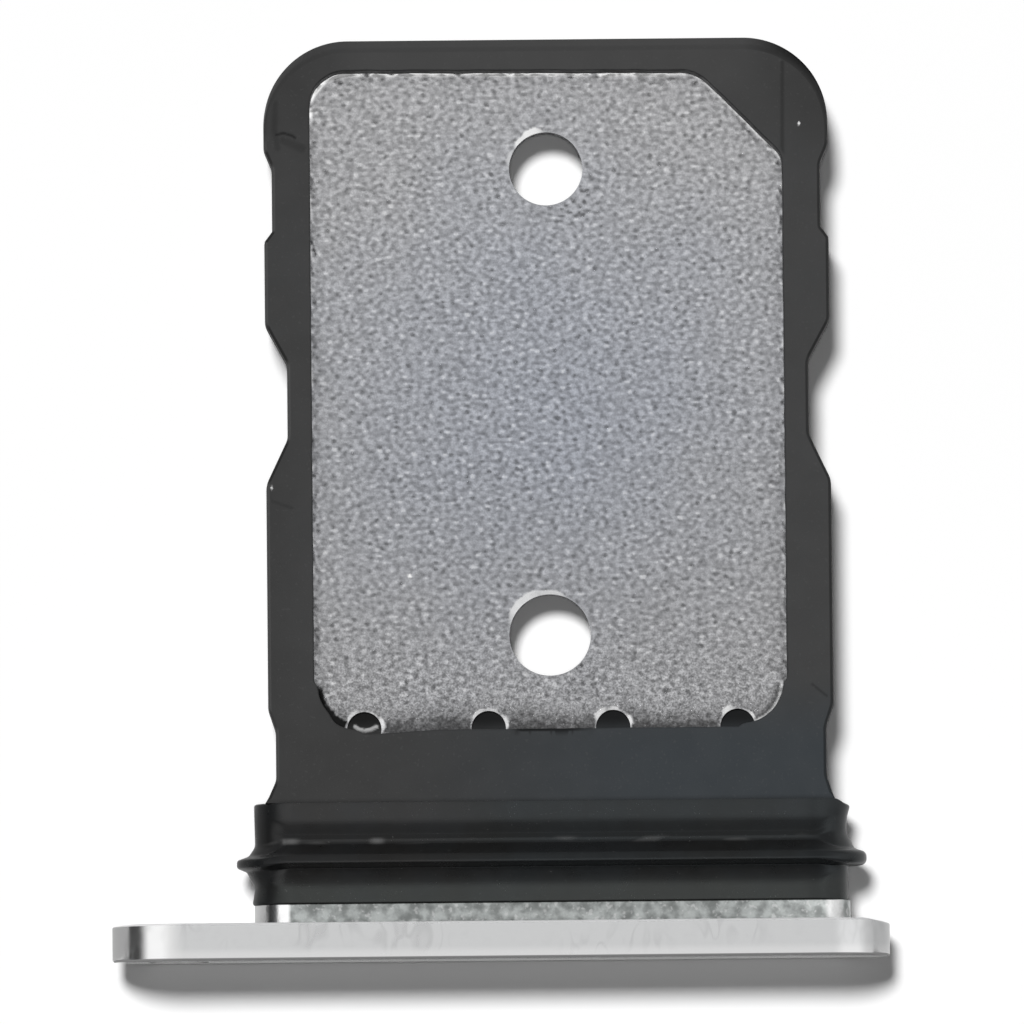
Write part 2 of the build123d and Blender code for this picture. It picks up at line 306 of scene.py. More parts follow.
def near_line(points, line):
    """Distance of points from a line through a few places."""
    nearest = np.full(len(points), np.inf)
    for here, there in zip(np.array(line[:-1]), np.array(line[1:])):
        run = there - here
        share = np.clip((points - here) @ run / (run @ run), 0, 1)
        gap = points - here - share[:, None] * run
        nearest = np.minimum(nearest, (gap * gap).sum(1))
    return np.sqrt(nearest)


def depth_in(points, loop):
    """How far each point lies inside a loop, and less than nothing outside it."""
    return np.where(inside(points, loop), 1, -1) * near_line(points, np.vstack((loop, loop[:1])))


def grid(loop, spacing):
    """Points of a triangular grid over a loop's box."""
    low, high = loop.min(0), loop.max(0)
    rows = np.arange(low[1], high[1], spacing * math.sqrt(0.75))
    columns = np.arange(low[0], high[0], spacing)
    x = columns[None, :] + (np.arange(len(rows)) % 2)[:, None] * spacing / 2
    return np.column_stack((x.ravel(), np.repeat(rows, len(columns))))


def ease(value, low, high):
    """0 at low, 1 at high, and smooth between."""
    share = np.clip((value - low) / (high - low), 0, 1)
    return share * share * (3 - 2 * share)


LUMP_CELLS = 64


def lumps(points, size, seed):
    """Smooth noise from -1 to 1 over points in a plane, with lumps of about that size."""
    table = np.random.default_rng(seed).uniform(-1, 1, (LUMP_CELLS, LUMP_CELLS))
    cell = np.floor(points / size).astype(int)
    share = points / size - cell
    share = share * share * (3 - 2 * share)
    total = 0
    for step in np.ndindex(2, 2):
        weight = np.where(step, share, 1 - share).prod(1)
        near = (cell + step) % LUMP_CELLS
        total = total + weight * table[near[:, 0], near[:, 1]]
    return total


def grit(points, size, seed):
    """Even noise over points in a plane, mostly from -2 to 2, in spots of about that size."""
    rng = np.random.default_rng(seed)
    cell = np.floor(points / size).astype(int)
    low = cell.min(0) - 2
    span = cell.max(0) - low + 3
    centre = rng.uniform(0, 1, (*span, 2))
    weight = rng.uniform(-1, 1, span)
    total = 0
    for step in np.ndindex(5, 5):
        near = cell + step - low - 2
        index = (near[:, 0], near[:, 1])
        gap = ((points / size - near - low - centre[index]) ** 2).sum(1)
        total = total + weight[index] * (np.exp(-gap / 0.6) - 0.35 * np.exp(-gap / 1.5))
    return total / total.std()


WHOLE_HULL = 0


class Shape:
    """Points and faces gathered for one mesh."""

    def __init__(self):
        self.points = np.zeros((0, 3))
        self.faces = []
        self.marks = {}

    def add(self, points):
        first = len(self.points)
        self.points = np.vstack((self.points, points))
        return np.arange(first, len(self.points))

    def level(self, loop, z):
        """A loop of points at one height."""
        return self.add(np.column_stack((loop, np.full(len(loop), z))))

    def band(self, first, second):
        """Four-sided faces between two loops of as many points."""
        corners = (first, np.roll(first, -1), np.roll(second, -1), second)
        self.faces += np.column_stack(corners).tolist()

    def stack(self, rings):
        for first, second in zip(rings, rings[1:]):
            self.band(first, second)

    def sheet(self, loops, inner=()):
        """Triangles between an outer loop and holes, through the points of inner."""
        known = np.concatenate([*loops, np.array(inner, int)])
        edges = []
        start = 0
        for loop in loops:
            steps = np.arange(len(loop))
            edges += np.column_stack((start + steps, start + np.roll(steps, -1))).tolist()
            start += len(loop)
        places = [Vector(point) for point in self.points[known, :2]]
        found = delaunay_2d_cdt(places, edges, [], WHOLE_HULL, 1e-6, True)
        first_of = np.array([known[same[0]] for same in found[3]])
        triangles = first_of[np.array(found[2])]
        middles = self.points[triangles, :2].mean(1)
        kept = inside(middles, self.points[loops[0], :2])
        for hole in loops[1:]:
            kept &= ~inside(middles, self.points[hole, :2])
        self.faces += triangles[kept].tolist()

    def sweep(self, profile, core, x, closed=False):
        """Runs (distance from a core line along X, y) round a stadium, or a circle if the core is 0."""
        path = stadium(core)
        rings = []
        for distance, y in profile:
            rings.append(self.add(np.column_stack((
                x + path[:, 0] + path[:, 1] * distance,
                np.broadcast_to(y, len(path)),
                MID_Z + path[:, 2] * distance,
            ))))
        self.stack(rings + rings[:1] if closed else rings)
        return rings

    def mesh(self, name):
        """The mesh in metres, with coinciding points joined and normals outward."""
        made = bpy.data.meshes.new(name)
        made.from_pydata((self.points * MM).tolist(), [], self.faces)
        for mark, values in self.marks.items():
            layer = made.attributes.new(mark, "FLOAT", "POINT")
            layer.data.foreach_set("value", np.resize(values, len(self.points)).astype(np.float32))
        net = bmesh.new()
        net.from_mesh(made)
        bmesh.ops.remove_doubles(net, verts=net.verts, dist=1e-8)
        bmesh.ops.dissolve_degenerate(net, edges=net.edges, dist=1e-9)
        bmesh.ops.recalc_face_normals(net, faces=net.faces)
        net.to_mesh(made)
        net.free()
        return made


STADIUM_SPACING = 0.10
STADIUM_ARC_STEPS = 40


def stadium(core):
    """Stations round a stadium: place on the core line, then the outward direction in X and Z."""
    arc = np.linspace(0, np.pi, STADIUM_ARC_STEPS + 1)
    run = np.linspace(core, -core, max(1, round(2 * core / STADIUM_SPACING)) + 1)[1:-1]
    stations = []
    for side in (1, -1):
        angle = arc - np.pi / 2 if side > 0 else arc + np.pi / 2
        turns = np.column_stack((np.full(len(arc), side * core), np.cos(angle), np.sin(angle)))
        runs = np.column_stack((side * run, np.zeros(len(run)), np.full(len(run), float(side))))
        stations += [turns, runs]
    if core == 0:
        stations = [stations[0][:-1], stations[2][:-1]]
    return np.vstack(stations)


def added(name, data):
    """A new object in the scene."""
    made = bpy.data.objects.new(name, data)
    bpy.context.scene.collection.objects.link(made)
    return made


def place(name, mesh, materials, node):
    """Puts a finished mesh in the scene in place of a node."""
    for polygon in mesh.polygons:
        polygon.use_smooth = True
    mesh.set_sharp_from_angle(angle=math.radians(40))
    for material in materials:
        mesh.materials.append(material)
    piece = added(name, mesh)
    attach(piece, "root")
    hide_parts(node)


# Outlines

def on_tray(corners, arc_steps, spacing, arc_spacing=math.inf):
    """Points along an outline whose corners are given from the tray's middle line."""
    return spread(rounded([(x + TRAY_X, y, r) for x, y, r in corners], arc_steps, arc_spacing), spacing)


def pocket_outline(spacing):
    corners = [
        (-POCKET_HALF, POCKET_ROOT, POCKET_ROOT_RADIUS),
        (POCKET_HALF, POCKET_ROOT, POCKET_ROOT_RADIUS),
        (POCKET_HALF, POCKET_NOSE - KEY_LEG, KEY_SIDE_RADIUS),
        (POCKET_HALF - KEY_LEG, POCKET_NOSE, KEY_NOSE_RADIUS),
        (-POCKET_HALF, POCKET_NOSE + POCKET_SKEW, POCKET_NOSE_RADIUS),
    ]
    return on_tray(corners, 8, spacing, spacing)


def window_outline():
    root = POCKET_ROOT + ROOT_HOLE_INSET - ROOT_HOLE_RADIUS - WINDOW_HOLE_MARGIN
    nose = POCKET_NOSE - WINDOW_LEDGE
    half = POCKET_HALF - WINDOW_LEDGE
    leg = KEY_LEG - WINDOW_LEDGE * (2 - math.sqrt(2))
    corners = [(-half, root), (half, root), (half, nose - leg), (half - leg, nose), (-half, nose)]
    return on_tray([(x, y, WINDOW_RADIUS) for x, y in corners], 8, 0.3)


def plate_outline():
    """The plate's edge, buried in the plastic all round."""
    half = POCKET_HALF + PLATE_MARGIN
    nose = POCKET_NOSE + PLATE_MARGIN
    tail = POCKET_ROOT - PLATE_TAIL
    tail_half = half - PLATE_TAIL_INSET
    leg = KEY_LEG + PLATE_MARGIN * (2 - math.sqrt(2))
    shoulder = POCKET_ROOT + POCKET_ROOT_RADIUS
    corners = [
        (-tail_half, tail, 0.05),
        (tail_half, tail, 0.05),
        (tail_half, POCKET_ROOT - PLATE_MARGIN / 2, 0.05),
        (half, shoulder, 0.30),
        (half, nose - leg, KEY_SIDE_RADIUS + PLATE_MARGIN),
        (half - leg, nose, KEY_NOSE_RADIUS + PLATE_MARGIN),
        (-half, nose, POCKET_NOSE_RADIUS + PLATE_MARGIN),
        (-half, shoulder, 0.30),
        (-tail_half, POCKET_ROOT - PLATE_MARGIN / 2, 0.05),
    ]
    return on_tray(corners, 6, 0.25)


def frame_outline():
    detent_nose = NOSE_END - DETENT_FROM_NOSE
    detent_root = detent_nose - DETENT_NOSE_RAMP - DETENT_FLOOR - DETENT_ROOT_RAMP
    latch_nose = detent_root - LAND_LENGTH
    latch_root = latch_nose - LATCH_NOSE_RAMP - LATCH_FLOOR - LATCH_ROOT_RAMP
    waist_root = FRAME_ROOT + WAIST_FLARE_LENGTH
    waist_nose = waist_root + WAIST_FLOOR
    detent = FRAME_HALF - DETENT_DEPTH
    latch = FRAME_HALF - LATCH_DEPTH
    waist = FRAME_HALF - WAIST_DEPTH
    side = [
        (waist + WAIST_FLARE, FRAME_ROOT, 0),
        (waist, waist_root, WAIST_ROUND),
        (waist, waist_nose, WAIST_ROUND),
        (FRAME_HALF, waist_nose + WAIST_RAMP, WAIST_ROUND),
        (FRAME_HALF, latch_root, LATCH_ROUND),
        (latch, latch_root + LATCH_ROOT_RAMP, LATCH_ROUND),
        (latch, latch_nose - LATCH_NOSE_RAMP, LATCH_ROUND),
        (FRAME_HALF, latch_nose, LATCH_ROUND),
        (FRAME_HALF, detent_root, DETENT_ROOT_ROUND),
        (detent, detent_root + DETENT_ROOT_RAMP, DETENT_ROOT_ROUND),
        (detent, detent_nose - DETENT_NOSE_RAMP, DETENT_NOSE_ROUND),
        (FRAME_HALF, detent_nose, DETENT_NOSE_ROUND),
        (FRAME_HALF, NOSE_END, NOSE_RADIUS),
    ]
    corners = side + [(-x, y, radius) for x, y, radius in reversed(side)]
    corners[0] = (waist + WAIST_FLARE_RIGHT, FRAME_ROOT, 0)
    return on_tray(corners, 4, 0.12, 0.06)


def lock_places():
    half = POCKET_HALF - LOCK_SIDE_INSET
    return [(TRAY_X + x, POCKET_ROOT + LOCK_INSET) for x in np.linspace(-half, half, LOCK_COUNT)]


def push_holes():
    """Centre, radius and edge of the two push holes."""
    return [
        (TRAY_X, POCKET_NOSE - NOSE_HOLE_INSET, NOSE_HOLE_RADIUS, NOSE_HOLE_LOBES),
        (TRAY_X, POCKET_ROOT + ROOT_HOLE_INSET, ROOT_HOLE_RADIUS, ROOT_HOLE_LOBES),
    ]


# Materials

class Paint:
    """A node tree that is filled call by call; each call hands on the socket it made."""

    def __init__(self, owner):
        owner.use_nodes = True
        self.tree = owner.node_tree
        self.tree.nodes.clear()

    def feed(self, socket, value):
        if isinstance(value, bpy.types.NodeSocket):
            self.tree.links.new(value, socket)
        else:
            socket.default_value = value

    def node(self, kind, inputs, **settings):
        made = self.tree.nodes.new("ShaderNode" + kind)
        for name, value in settings.items():
            setattr(made, name, value)
        for name, value in inputs.items():
            self.feed(made.inputs[name], value)
        return made

    def coordinates(self, stretch=(1, 1, 1)):
        """Place in the part's own frame, in millimetres, divided by stretch."""
        scale = [1 / MM / s for s in stretch]
        source = self.node("TexCoord", {}).outputs["Object"]
        return self.node("Mapping", {"Vector": source, "Scale": scale}).outputs[0]

    def noise(self, where, size, detail=2.0, roughness=0.5, distortion=0.0):
        inputs = {"Vector": where, "Scale": 1 / size, "Detail": detail, "Roughness": roughness}
        return self.node("TexNoise", {**inputs, "Distortion": distortion}).outputs[0]

    def math(self, operation, first, second=0.0):
        return self.node("Math", {0: first, 1: second}, operation=operation).outputs[0]

    def times(self, first, second):
        return self.math("MULTIPLY", first, second)

    def away(self, value, other):
        """How far a value is from another."""
        return self.math("ABSOLUTE", self.math("SUBTRACT", value, other))

    def span(self, value, low, high, to_low=0.0, to_high=1.0):
        inputs = {"Value": value, "From Min": low, "From Max": high, "To Min": to_low, "To Max": to_high}
        return self.node("MapRange", inputs, interpolation_type="SMOOTHSTEP").outputs[0]

    def mix(self, share, first, second):
        return self.node("Mix", {0: share, 6: first, 7: second}, data_type="RGBA").outputs[2]

    def scale(self, colour, factor):
        return self.node("VectorMath", {0: colour, "Scale": factor}, operation="SCALE").outputs["Vector"]

    def mark(self, name):
        return self.node("Attribute", {}, attribute_name=name).outputs["Fac"]

    def split(self, vector):
        return self.node("SeparateXYZ", {0: vector}).outputs

    def bump(self, height, depth):
        return self.node("Bump", {"Height": height, "Distance": depth * MM, "Strength": 1.0}).outputs[0]

    def surface(self, inputs):
        shader = self.node("BsdfPrincipled", inputs)
        self.node("OutputMaterial", {"Surface": shader.outputs[0]})


def new_paint(name):
    material = bpy.data.materials.new(name)
    return material, Paint(material)


def grey(level, warm=0.0):
    """A near-grey colour, warmer or, below nothing, bluer."""
    return (level * (1 + warm), level, level * (1 - warm), 1.0)


def polished_metal():
    material, paint = new_paint("polished_metal")
    where = paint.coordinates()
    patch = paint.span(paint.noise(where, 1.6), 0.45, 0.62)
    swirl = paint.noise(paint.coordinates((0.8, 1.6, 1.6)), 0.6, 1.0, 0.5, 0.8)
    ridge = paint.away(swirl, 0.5)
    smear = paint.times(paint.span(ridge, 0.0, 0.08, 1.0, 0.0), patch)
    haze = paint.noise(where, 0.25, 3.0)
    colour = paint.mix(paint.times(smear, 0.75), grey(0.56, -0.006), grey(0.46, -0.006))
    colour = paint.mix(paint.span(haze, 0.4, 0.8, 0.0, 0.5), colour, grey(0.52, -0.006))
    across, along, _ = paint.split(where)
    # painted highlights: lighter base colour towards the front edge and across the left end
    front = paint.span(along, BAR_FACE + 0.08, BAR_FACE + 0.26, 0.8, 0.0)
    colour = paint.mix(front, colour, grey(0.65))
    colour = paint.mix(paint.span(across, *BAR_GLEAM, 1.0, 0.0), colour, grey(0.70))
    rough = paint.math("ADD", paint.span(haze, 0.3, 0.7, 0.13, 0.20), paint.times(smear, 0.1))
    rough = paint.times(rough, paint.span(along, BAR_FACE + 0.01, BAR_FACE + 0.06, 0.3, 1.0))
    bright = paint.span(along, BAR_SEAT - 0.05, BAR_SEAT - 0.025, 1.0, 0.0)
    fine = paint.bump(paint.noise(where, 0.02, 2.0), 0.0004)
    paint.surface({"Base Color": colour, "Metallic": bright, "Roughness": rough, "Normal": fine})
    return material


def blasted_metal():
    """Neck and bore: mottled and lighter towards both ends, with a painted highlight and a painted shade band
    on the left end and a painted highlight on the right end.
    """
    material, paint = new_paint("blasted_metal")
    where = paint.coordinates()
    x = paint.split(where)["X"]
    mottle = paint.noise(where, 0.20, 2.5, 0.5)
    colour = paint.mix(paint.span(mottle, 0.30, 0.70), (0.178, 0.188, 0.184, 1), (0.392, 0.412, 0.405, 1))
    spots = paint.span(paint.noise(where, 0.11, 2.0), 0.56, 0.70)
    colour = paint.mix(paint.times(spots, 0.4), colour, grey(0.60))
    colour = paint.scale(colour, paint.span(x, TRAY_X - 4.9, TRAY_X - 3.4, 1.08, 1.0))
    colour = paint.scale(colour, paint.span(x, TRAY_X + 3.4, TRAY_X + 4.9, 1.0, 1.30))
    # painted highlights: the neck's left end, and a spot on its right end
    left_highlight = paint.span(x, NECK_HIGHLIGHT_LEFT, NECK_HIGHLIGHT_LEFT + 0.08, 1.0, 0.0)
    from_right_highlight = paint.away(x, NECK_HIGHLIGHT_RIGHT)
    right_highlight = paint.span(from_right_highlight, 0.08, 0.22, 0.8, 0.0)
    colour = paint.mix(paint.math("MAXIMUM", left_highlight, right_highlight), colour, grey(0.80))
    # painted shade: a dark band on the neck's left end
    from_left_shade = paint.away(x, sum(NECK_SHADE) / 2)
    left_shade = paint.span(from_left_shade, 0.05, (NECK_SHADE[1] - NECK_SHADE[0]) / 2 + 0.03, 0.75, 0.0)
    colour = paint.mix(left_shade, colour, grey(0.12, -0.05))
    rough = paint.span(mottle, 0.3, 0.7, 0.26, 0.16)
    fine = paint.bump(paint.noise(where, 0.05, 3.0), 0.003)
    paint.surface({"Base Color": colour, "Metallic": 1.0, "Roughness": rough, "Normal": fine})
    return material


def grained_metal():
    material, paint = new_paint("grained_metal")
    where = paint.coordinates()
    middle = (TRAY_X, (POCKET_NOSE + POCKET_ROOT) / 2, PLATE_TOP)
    reach = paint.node("VectorMath", {0: where, 1: middle}, operation="DISTANCE").outputs["Value"]
    drift = paint.times(paint.noise(where, 2.2, 2.0), 2.5)
    rim = paint.span(paint.math("ADD", reach, drift), 0.5, 8.5)
    tint = paint.mix(rim, (0.303, 0.318, 0.356, 1), (0.331, 0.331, 0.338, 1))
    tint = paint.scale(tint, paint.span(paint.mark("grain"), -2.3, 2.3, 0.65, 1.37))
    along = paint.split(where)["Y"]
    tint = paint.scale(tint, paint.span(along, POCKET_ROOT + 0.3, POCKET_NOSE, 0.90, 1.045))
    speckle = paint.span(paint.noise(where, 0.035, 2.0), 0.30, 0.70, -1.0, 1.0)
    contrast = paint.span(along, POCKET_ROOT + 0.3, POCKET_ROOT + 2.6, 0.40, 0.12)
    tint = paint.scale(tint, paint.math("ADD", paint.times(speckle, contrast), 1.0))
    # painted highlights: lighter colour on the turned-up edge, the rear right corner line, the grain's
    # highest bumps and the hole edges, and one pale speck
    highlight_and_speck = paint.mark("highlight_and_speck")
    tint = paint.mix(highlight_and_speck, tint, grey(0.86))
    # darker, non-metal colour: the buried edge and dark marks, with painted shade in the gap at the rear left
    # corner
    dark_marks_and_shade = paint.mark("dark_marks_and_shade")
    colour = paint.mix(dark_marks_and_shade, tint, grey(0.011))
    metallic = paint.math("SUBTRACT", 1.0, dark_marks_and_shade)
    rough = paint.span(paint.noise(where, 0.3, 3.0), 0.3, 0.7, 0.22, 0.30)
    fine = paint.bump(paint.noise(where, 0.03, 2.0), 0.001)
    paint.surface({
        "Base Color": colour, "Metallic": metallic, "Roughness": rough, "Normal": fine,
        "Specular IOR Level": paint.times(metallic, 0.5),
    })
    return material


def moulded_plastic():
    """Matt dark plastic: paler at the nose, darker and bluer at the root, more so at the right."""
    material, paint = new_paint("moulded_plastic")
    where = paint.coordinates()
    place_x, place_y, _ = paint.split(where)
    cloud = paint.noise(where, 1.8, 3.0)
    colour = paint.mix(paint.span(cloud, 0.30, 0.70), grey(0.0405), grey(0.0435, -0.01))
    colour = paint.scale(colour, paint.span(place_x, -4.2, 6.2, 0.97, 1.04))
    at_left = paint.span(place_x, -4.4, -3.4, 1.0, 0.0)
    low_left = paint.times(at_left, paint.span(place_y, 0.0, 2.5, 1.0, 0.0))
    colour = paint.mix(low_left, colour, grey(0.0365))
    root = paint.mix(paint.span(place_x, -3.0, 3.5), grey(0.0360), (0.0350, 0.0400, 0.0445, 1))
    colour = paint.mix(paint.span(place_y, POCKET_ROOT - 0.5, POCKET_ROOT + 1.2, 1.0, 0.0), colour, root)
    nose = paint.span(place_y, POCKET_NOSE - 0.6, POCKET_NOSE + 0.1)
    off_middle = paint.away(place_x, TRAY_X)
    nose = paint.times(nose, paint.span(off_middle, 3.2, 4.4, 1.0, 0.0))
    colour = paint.mix(nose, colour, grey(0.0485))
    near_nose = paint.span(place_y, POCKET_NOSE - 2.0, POCKET_NOSE - 0.4)
    corner = paint.times(near_nose, paint.span(off_middle, 3.6, 4.8))
    colour = paint.mix(corner, colour, grey(0.0345))
    pores = paint.span(paint.noise(where, 0.06, 2.0), 0.62, 0.72)
    colour = paint.mix(paint.times(pores, 0.25), colour, grey(0.07))
    # darker: creases and marks, and painted shade on edges, plugs and the pocket's rear edge; lighter:
    # specks, and painted highlights on edges and a plug's burr
    colour = paint.mix(paint.mark("crease_and_shade"), colour, grey(0.006))
    colour = paint.mix(paint.mark("specks_and_highlight"), colour, grey(0.75))
    rough = paint.span(paint.noise(where, 0.5, 3.0), 0.3, 0.7, 0.42, 0.56)
    fine = paint.bump(paint.noise(where, 0.035, 2.0), 0.0018)
    paint.surface({
        "Base Color": colour, "Roughness": rough, "Normal": fine,
        "Specular IOR Level": paint.span(paint.mark("crease_and_shade"), 0.3, 1.0, 0.18, 0.0),
    })
    return material


def satin_rubber():
    """Black rubber, duller at its left end, with painted highlights in a few places along the ridge."""
    material, paint = new_paint("satin_rubber")
    where = paint.coordinates()
    place_x, place_y, _ = paint.split(where)
    cloud = paint.noise(where, 1.2, 3.0)
    colour = paint.mix(paint.span(cloud, 0.35, 0.65), grey(0.0080, 0.02), grey(0.0100, -0.06))
    dust = paint.span(paint.noise(where, 0.05, 1.0), 0.74, 0.80)
    colour = paint.mix(paint.times(dust, 0.3), colour, grey(0.12))
    from_ridge = paint.away(place_y, RIDGE_Y)
    on_ridge = paint.span(from_ridge, 0.01, 0.09, 1.0, 0.0)
    # painted highlights along the ridge: faint streaks and a few listed spots
    rounding_and_highlight = paint.span(paint.noise(paint.coordinates((4.0, 1.0, 1.0)), 0.22, 1.0), 0.56, 0.70, 0.0, 0.4)
    for x, reach in RIDGE_SHINE:
        away = paint.away(place_x, x)
        rounding_and_highlight = paint.math("MAXIMUM", rounding_and_highlight, paint.span(away, reach * 0.1, reach, 1.0, 0.0))
    colour = paint.mix(paint.times(on_ridge, rounding_and_highlight), colour, grey(0.075))
    rough = paint.span(paint.noise(where, 0.35, 3.0), 0.3, 0.7, 0.26, 0.36)
    lower = paint.span(place_y, SEAL_START + 0.25, SEAL_START + 0.60, 1.0, 0.0)
    shine = paint.span(place_x, -4.35, -3.90, 0.20, 0.43)
    shine = paint.times(shine, paint.span(lower, 0.0, 1.0, 1.0, 1.22))
    shine = paint.times(shine, paint.span(place_x, 5.65, 6.0, 1.0, 0.78))
    tint = paint.mix(paint.span(place_x, -1.8, 0.6), grey(1.0), (0.86, 0.96, 1.0, 1))
    tint = paint.mix(lower, tint, (0.92, 1.0, 0.965, 1))
    fine = paint.bump(paint.noise(where, 0.03, 2.0), 0.0012)
    paint.surface({
        "Base Color": colour, "Roughness": rough, "Normal": fine,
        "Specular IOR Level": shine, "Specular Tint": tint,
    })
    return material


def pale_floor():
    """Near-white floor with painted reflections: mirrors see it darker beside the tray and farther ahead of
    the bar, and see a thin glowing line just ahead of the bar.
    """
    material, paint = new_paint("pale_floor")
    where = paint.coordinates()
    place_x, place_y, _ = paint.split(where)
    tone = paint.span(paint.noise(where, 40.0, 2.0), 0.3, 0.7)
    colour = paint.mix(tone, grey(0.965), grey(0.975))
    beside = paint.span(place_x, -12.0, 10.0, 0.50, 0.72)
    behind = paint.span(place_y, 12.0, 25.0, 0.0, 1.0)
    ahead = paint.span(place_y, BAR_FACE - 0.12, BAR_FACE - 0.075, 0.30, 1.0)
    mirrored = paint.scale(colour, paint.math("MAXIMUM", beside, behind))
    is_ahead = paint.span(place_y, BAR_FACE - 0.05, BAR_FACE + 0.05, 1.0, 0.0)
    mirrored = paint.mix(is_ahead, mirrored, paint.scale(colour, ahead))
    in_mirror = paint.node("LightPath", {}).outputs["Is Glossy Ray"]
    colour = paint.mix(in_mirror, colour, mirrored)
    # painted reflection: a thin line just ahead of the bar glows for mirrors only
    from_glint = paint.away(place_y, BAR_FACE - FLOOR_GLINT)
    glint = paint.times(paint.span(from_glint, 0.008, 0.022, 0.20, 0.0), in_mirror)
    paint.surface({
        "Base Color": colour, "Roughness": 0.9, "Specular IOR Level": 0.0,
        "Emission Color": grey(1.0), "Emission Strength": glint,
    })
    return material


# Pieces

def make_cap():
    """Bar with its eject-pin hole, neck boss and buried tongue."""
    bar = Shape()
    profile = rounded([
        (0, BAR_FACE, 0),
        (BAR_RADIUS - BAR_FACE_CHAMFER, BAR_FACE, 0.015),
        (BAR_RADIUS, BAR_FACE + BAR_FACE_CHAMFER, 0.03),
        (BAR_RADIUS, BAR_SEAT - BAR_BACK_CHAMFER, 0.008),
        (BAR_RADIUS - BAR_BACK_CHAMFER, BAR_SEAT, 0.008),
        (0, BAR_SEAT, 0),
    ], EDGE_STEPS, closed=False)
    across = stadium(BAR_CORE)[:, 1]
    at_ends = ease(across, 0.5, 1.0) + 0.35 * ease(-across, 0.5, 1.0)
    rounding_and_highlight = []
    for distance, y in spread(profile, 0.12, closed=False):
        outer = max(0.0, (distance - BAR_RADIUS) / BAR_CORNER_REACH + 1) ** 2
        at_back = ease(y, BAR_SEAT - 0.40, BAR_SEAT - 0.02)
        rounding_and_highlight.append((distance, y - BAR_CORNER * at_ends * outer * at_back))
    bar.sweep(rounding_and_highlight, BAR_CORE, 0.0)
    cutter = Shape()
    eject_x = cap_low[0] + EJECT_INSET
    cutter.sweep([
        (0, BAR_FACE - EJECT_MOUTH),
        (EJECT_RADIUS + 2 * EJECT_MOUTH, BAR_FACE - EJECT_MOUTH),
        (EJECT_RADIUS, BAR_FACE + EJECT_MOUTH),
        (EJECT_RADIUS, BAR_SEAT + EJECT_MOUTH),
        (0, BAR_SEAT + EJECT_MOUTH),
    ], 0, eject_x)
    drilled = bored(bar.mesh("bar"), cutter.mesh("cutter"))

    boss = Shape()
    neck_end = BAR_SEAT + NECK_LENGTH
    profile = rounded([
        (0, BAR_SEAT - BAR_DEPTH / 2, 0),
        (NECK_RADIUS, BAR_SEAT - BAR_DEPTH / 2, 0),
        (NECK_RADIUS, neck_end, 0.02),
        (0, neck_end, 0),
    ], EDGE_STEPS, closed=False)
    boss.sweep(spread(profile, 0.05, closed=False), RING_CORE, TRAY_X)
    half = RING_CORE - TONGUE_INSET
    slab = [(-half, BAR_SEAT, 0), (half, BAR_SEAT, 0), (half, TONGUE_END, 0.1), (-half, TONGUE_END, 0.1)]
    loop = on_tray(slab, EDGE_STEPS, 0.5)
    low = boss.level(loop, MID_Z - TONGUE_THICKNESS / 2)
    high = boss.level(loop, MID_Z + TONGUE_THICKNESS / 2)
    boss.band(low, high)
    boss.sheet([low])
    boss.sheet([high])

    net = bmesh.new()
    net.from_mesh(drilled)
    for face in net.faces:
        middle = face.calc_center_median() / MM
        off_axis = math.hypot(middle.x - eject_x, middle.z - MID_Z)
        in_bore = off_axis < EJECT_RADIUS + EJECT_MOUTH - 0.005 and abs(face.normal.y) < 0.95
        face.material_index = 1 if in_bore else 0
    shown = len(net.faces)
    net.from_mesh(boss.mesh("boss"))
    net.faces.ensure_lookup_table()
    for face in net.faces[shown:]:
        face.material_index = 1
    net.to_mesh(drilled)
    net.free()
    place("cap", drilled, [polished_metal(), blasted_metal()], "end_cap")


def bored(mesh, cutter):
    """A mesh with another taken away from it."""
    body = added("body", mesh)
    tool = added("tool", cutter)
    cut = body.modifiers.new("bore", "BOOLEAN")
    cut.operation = "DIFFERENCE"
    cut.solver = "EXACT"
    cut.object = tool
    result = bpy.data.meshes.new_from_object(body.evaluated_get(bpy.context.evaluated_depsgraph_get()))
    for made in (body, tool):
        bpy.data.objects.remove(made)
    return result


def spread_evenly(line, count):
    """Each run of a closed line in count steps."""
    steps = np.arange(count)[:, None] / count
    return np.vstack([here + steps * run for here, run in zip(line, np.roll(line, -1, 0) - line)])


def make_seal():
    """Rubber ring, with a lip that is thin at the left end and thick and undercut at the right end."""
    ring = Shape()
    left, middle, right = [seal_section(corners) for corners in (SEAL_LEFT, SEAL_MIDDLE, SEAL_RIGHT)]
    path = stadium(RING_CORE)
    reach = path[:, 0] + path[:, 1] * NECK_RADIUS
    at_left = ease(reach, -RING_CORE - 0.1, -RING_CORE - 0.5)
    at_right = ease(reach, RING_CORE + 0.1, RING_CORE + 0.5)
    shoulder = ease(reach, RING_CORE + 0.45, RING_CORE + 0.75)
    profile = []
    for first, second, third in zip(left, middle, right):
        to_right = shoulder if FRAME_ROOT - second[1] < 0.1 else at_right
        distance, y = [
            second[i] + at_left * (first[i] - second[i]) + to_right * (third[i] - second[i]) for i in (0, 1)
        ]
        ripple = lumps(np.column_stack((TRAY_X + reach, y + path[:, 2])), 0.6, 21) * 0.004
        profile.append((np.minimum(distance + ripple, LIP_TIP), y))
    ring.sweep(profile, RING_CORE, TRAY_X, closed=True)
    place("seal_ring", ring.mesh("seal_ring"), [satin_rubber()], "seal")


def seal_section(corners):
    return spread_evenly(rounded([(d, FRAME_ROOT - way, r) for d, way, r in corners], EDGE_STEPS), 3)


